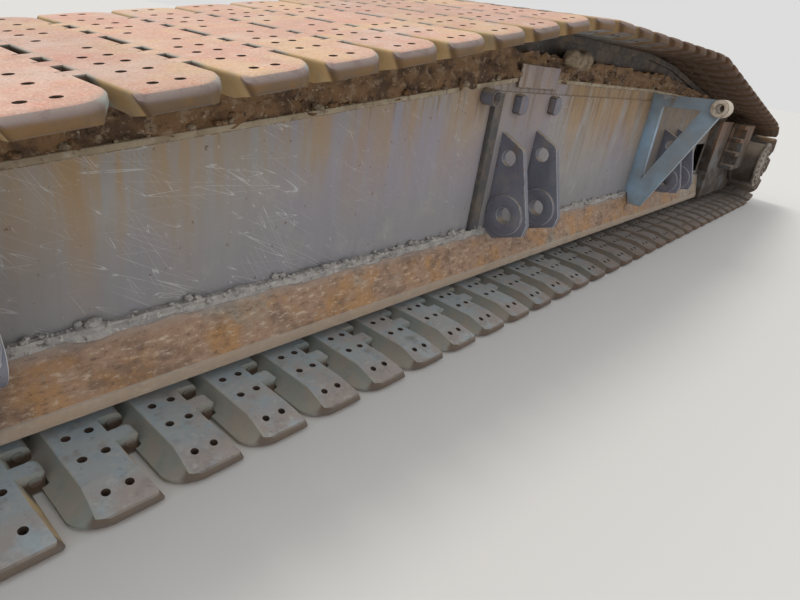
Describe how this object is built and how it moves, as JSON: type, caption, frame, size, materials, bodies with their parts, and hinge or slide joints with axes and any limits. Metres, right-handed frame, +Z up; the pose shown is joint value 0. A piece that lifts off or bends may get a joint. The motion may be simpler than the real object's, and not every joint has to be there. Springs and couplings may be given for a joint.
{
  "type": "crawler crane track unit",
  "caption": "Crawler track unit of a lattice-boom crane: box side frame with endless shoe track, idler, drive tumbler, rollers, gearbox and pin lugs.",
  "frame": {"origin": "on the ground, under the middle of the unit", "axes": "+X along the track towards the drive end, -Y to the outer side, +Z up"},
  "size_m": [9.6081, 1.564, 1.473],
  "materials": {
    "girder_paint": "weathered grey paint with rust runs",
    "lug_paint": "dark slate paint, worn on the edges",
    "skirt_rust": "rusted plate with old paint",
    "bracket_paint": "light blue paint",
    "tube_paint": "pale worn paint with rust",
    "shoe_steel": "cast steel with a dry rust film",
    "roller_steel": "dark greasy cast steel",
    "drive_paint": "grimy dark paint"
  },
  "bodies": {
    "side_frame": {"outer_wall": "girder_paint", "inner_wall": "girder_paint", "mid_panel": "girder_paint", "roof": "girder_paint", "edge_plate": "girder_paint", "near_carrier_fork": "girder_paint", "far_carrier_fork": "girder_paint", "carrier_ties": "girder_paint", "idler_fork": "girder_paint", "end_plates": "girder_paint", "floor_plate": "girder_paint", "near_lugs": "lug_paint", "middle_lugs": "lug_paint", "far_lugs": "lug_paint", "stop_bosses": "lug_paint", "tube_stub": "lug_paint", "outer_skirt": "skirt_rust", "inner_skirt": "skirt_rust", "slide_rails": "skirt_rust", "side_bracket": "bracket_paint", "bracket_tube": "tube_paint", "track": "shoe_steel", "bottom_rollers": "roller_steel", "roller_pins": "roller_steel", "idler_axle": "roller_steel", "idler_blocks": "roller_steel", "tension_cylinders": "roller_steel", "travel_gearbox": "drive_paint", "gearbox_flange": "drive_paint", "travel_motor": "drive_paint", "step_box": "drive_paint", "drive_housing": "drive_paint", "drive_post": "drive_paint"},
    "idler_wheel": {"idler": "roller_steel"},
    "drive_wheel": {"drive_tumbler": "roller_steel", "drive_hub": "roller_steel"}
  },
  "joints": [
    {"name": "idler_turn", "type": "hinge", "parent": "side_frame", "child": "idler_wheel", "pos_m": [-4.389, 0, 0.419], "axis": [0, 1, 0], "continuous": true},
    {"name": "drive_turn", "type": "hinge", "parent": "side_frame", "child": "drive_wheel", "pos_m": [4.318, 0, 0.49], "axis": [0, 1, 0], "continuous": true}
  ]
}
